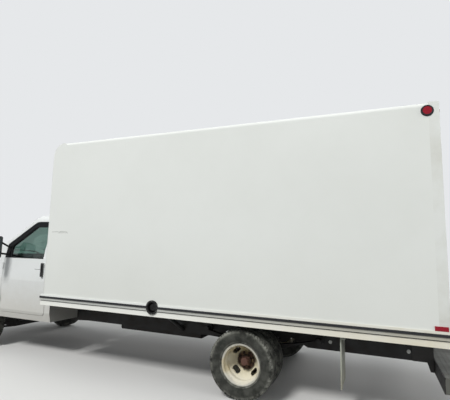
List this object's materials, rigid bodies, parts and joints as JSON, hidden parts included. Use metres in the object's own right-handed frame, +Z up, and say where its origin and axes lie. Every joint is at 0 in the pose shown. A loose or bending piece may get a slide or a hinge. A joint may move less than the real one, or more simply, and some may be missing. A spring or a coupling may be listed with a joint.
{
  "type": "box truck",
  "caption": "Conventional-cab box truck with a hollow load box and roll-up rear door, hinged cab doors and hood, steered front wheels and twin rear wheels.",
  "frame": {"origin": "on the road, midway between the front bumper's nose and the rear step's edge, on the truck's centre line", "axes": "+X forward to the front bumper, +Y to the truck's left, +Z up"},
  "size_m": [7.5848, 2.66, 3.053],
  "materials": {
    "box_white": "gloss, a little chalked",
    "cab_white": "gloss enamel",
    "skirt_cream": "gloss, stained with road film",
    "bare_aluminium": "mill finish, dull",
    "black_rubber": "matt",
    "flap_plastic": "matt, dirty",
    "tyre_rubber": "matt, greyed by dust",
    "wheel_paint": "chalked enamel with rust at the hub",
    "chassis_black": "matt black chassis paint",
    "engine_iron": "raw casting",
    "exhaust_steel": "heat stained",
    "black_plastic": "moulded, fine grain",
    "grille_plastic": "moulded grey",
    "step_steel": "galvanised and dirty",
    "bumper_paint": "gloss",
    "glass": "tinted, polished",
    "lamp_red": "moulded lens",
    "lamp_clear": "moulded lens",
    "seat_vinyl": "embossed vinyl",
    "cab_trim": "moulded grey"
  },
  "bodies": {
    "truck": {"box_floor": "chassis_black", "box_front_cap": "box_white", "box_roof": "box_white", "box_side_left": "box_white", "box_side_right": "box_white", "cab_floor": "cab_trim", "cab_shell": "cab_white", "dashboard": "cab_trim", "driveshaft": "chassis_black", "engine_block": "engine_iron", "exhaust": "exhaust_steel", "fender_left": "cab_white", "fender_right": "cab_white", "frame_rails": "chassis_black", "front_bumper": "bumper_paint", "front_suspension": "chassis_black", "fuel_filler": "black_plastic", "fuel_tank": "chassis_black", "grille": "grille_plastic", "headlamps": "lamp_clear", "leaf_springs": "chassis_black", "marker_lamps": "lamp_red", "mud_flaps": "flap_plastic", "rear_axle": "chassis_black", "rear_bumper": "step_steel", "rear_frame": "box_white", "roll_up_door": "box_white", "rub_strips": "black_rubber", "seats": "seat_vinyl", "side_rails": "skirt_cream", "tail_lamps": "lamp_red", "windshield": "glass"},
    "rear_wheel_left": {"wheel_rear_left": "wheel_paint", "tyres_rear_left": "tyre_rubber"},
    "rear_wheel_right": {"wheel_rear_right": "wheel_paint", "tyres_rear_right": "tyre_rubber"},
    "steer_left": {"knuckle_left": "engine_iron"},
    "steer_right": {"knuckle_right": "engine_iron"},
    "front_wheel_left": {"wheel_front_left": "wheel_paint", "tyre_front_left": "tyre_rubber"},
    "front_wheel_right": {"wheel_front_right": "wheel_paint", "tyre_front_right": "tyre_rubber"},
    "cab_door_left": {"door_left": "cab_white", "door_glass_left": "glass", "mirror_left": "black_plastic"},
    "cab_door_right": {"door_right": "cab_white", "door_glass_right": "glass", "mirror_right": "black_plastic"},
    "hood_panel": {"hood": "cab_white"},
    "steering": {"steering_wheel": "black_plastic"}
  },
  "joints": [
    {"name": "rear_wheel_left_spin", "type": "hinge", "parent": "truck", "child": "rear_wheel_left", "pos_m": [-1.6025, 0.913, 0.366], "axis": [0, 1, 0], "continuous": true},
    {"name": "steer_left_turn", "type": "hinge", "parent": "truck", "child": "steer_left", "pos_m": [2.8935, 0.728, 0.366], "axis": [0, 0, 1], "range_deg": [-35, 35]},
    {"name": "front_wheel_left_spin", "type": "hinge", "parent": "steer_left", "child": "front_wheel_left", "pos_m": [2.8935, 0.852, 0.366], "axis": [0, 1, 0], "continuous": true},
    {"name": "door_left_swing", "type": "hinge", "parent": "truck", "child": "cab_door_left", "pos_m": [2.394, 1.007, 1.025], "axis": [0, 0, -1], "range_deg": [0, 68]},
    {"name": "rear_wheel_right_spin", "type": "hinge", "parent": "truck", "child": "rear_wheel_right", "pos_m": [-1.6025, -0.913, 0.366], "axis": [0, 1, 0], "continuous": true},
    {"name": "steer_right_turn", "type": "hinge", "parent": "truck", "child": "steer_right", "pos_m": [2.8935, -0.728, 0.366], "axis": [0, 0, 1], "range_deg": [-35, 35]},
    {"name": "front_wheel_right_spin", "type": "hinge", "parent": "steer_right", "child": "front_wheel_right", "pos_m": [2.8935, -0.852, 0.366], "axis": [0, 1, 0], "continuous": true},
    {"name": "door_right_swing", "type": "hinge", "parent": "truck", "child": "cab_door_right", "pos_m": [2.394, -1.007, 1.025], "axis": [0, 0, 1], "range_deg": [0, 68]},
    {"name": "hood_lift", "type": "hinge", "parent": "truck", "child": "hood_panel", "pos_m": [2.9502, 0, 1.36384], "axis": [0, -1, 0], "range_deg": [0, 50]},
    {"name": "steering_turn", "type": "hinge", "parent": "truck", "child": "steering", "pos_m": [2.0975, 0.5, 1.23], "axis": [-0.866, 0, 0.5], "range_deg": [-455, 455]}
  ],
  "couplings": [
    {"joint": "steer_right_turn", "follows": "steer_left_turn", "ratio": 1},
    {"joint": "steering_turn", "follows": "steer_left_turn", "ratio": 13}
  ]
}
